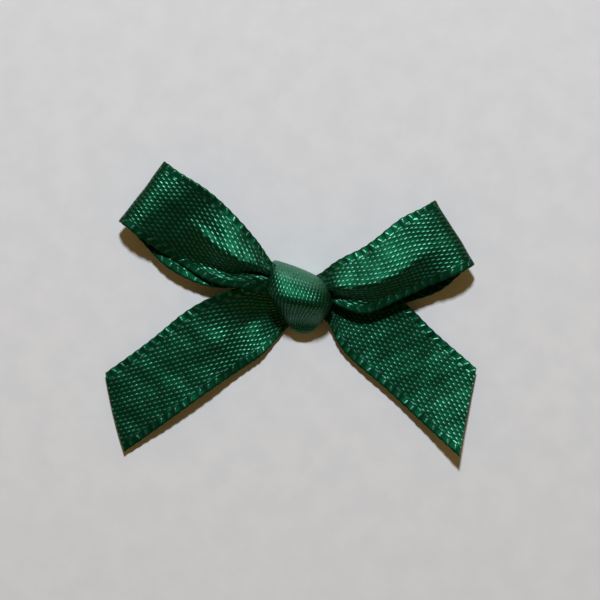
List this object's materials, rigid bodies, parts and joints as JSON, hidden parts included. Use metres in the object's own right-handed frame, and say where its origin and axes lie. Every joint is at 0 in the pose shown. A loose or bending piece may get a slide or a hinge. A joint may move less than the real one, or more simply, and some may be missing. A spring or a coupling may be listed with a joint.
{
  "type": "ribbon bow",
  "caption": "Small pre-tied satin ribbon bow with a wrapped knot, folded loops and slant-cut tails, for sticking on a gift or card.",
  "frame": {"origin": "middle of the knot's flat back, on the plane that the bow is stuck down on", "axes": "+X across the bow towards its right loop, +Y up the bow from tails to loops, +Z out of the knot's front"},
  "size_m": [0.0338, 0.0272, 0.0048],
  "materials": {
    "satin_face": "satin weave, glossy face",
    "satin_shade": "satin weave, dull inside"
  },
  "bodies": {
    "knot": {"knot_wrap_front": "satin_face", "knot_wrap_back": "satin_shade", "knot_crossing": "satin_shade", "left_neck": "satin_shade", "right_neck": "satin_shade", "left_tail_root": "satin_face", "right_tail_root": "satin_face"},
    "left_loop": {"left_loop_front": "satin_face", "left_loop_bend": "satin_face", "left_loop_back": "satin_shade"},
    "right_loop": {"right_loop_front": "satin_face", "right_loop_bend": "satin_face", "right_loop_back": "satin_shade"},
    "left_tail": {"left_tail": "satin_face"},
    "right_tail": {"right_tail": "satin_face"}
  },
  "joints": [
    {"name": "left_loop_lift", "type": "hinge", "parent": "knot", "child": "left_loop", "pos_m": [-0.00356, 0.00245, 0.0022], "axis": [0.5664, 0.8241, 0], "range_deg": [0, 45], "stiffness_Nm_per_rad": 0.00005},
    {"name": "right_loop_lift", "type": "hinge", "parent": "knot", "child": "right_loop", "pos_m": [0.00334, 0.0015, 0.0022], "axis": [0.3907, -0.9205, 0], "range_deg": [0, 45], "stiffness_Nm_per_rad": 0.00005},
    {"name": "left_tail_lift", "type": "hinge", "parent": "knot", "child": "left_tail", "pos_m": [-0.00663, -0.0029, 0.00045], "axis": [-0.5878, 0.809, 0], "range_deg": [0, 70], "stiffness_Nm_per_rad": 0.00001},
    {"name": "right_tail_lift", "type": "hinge", "parent": "knot", "child": "right_tail", "pos_m": [0.00756, -0.00322, 0.00078], "axis": [-0.682, -0.7314, 0], "range_deg": [0, 70], "stiffness_Nm_per_rad": 0.00001}
  ]
}
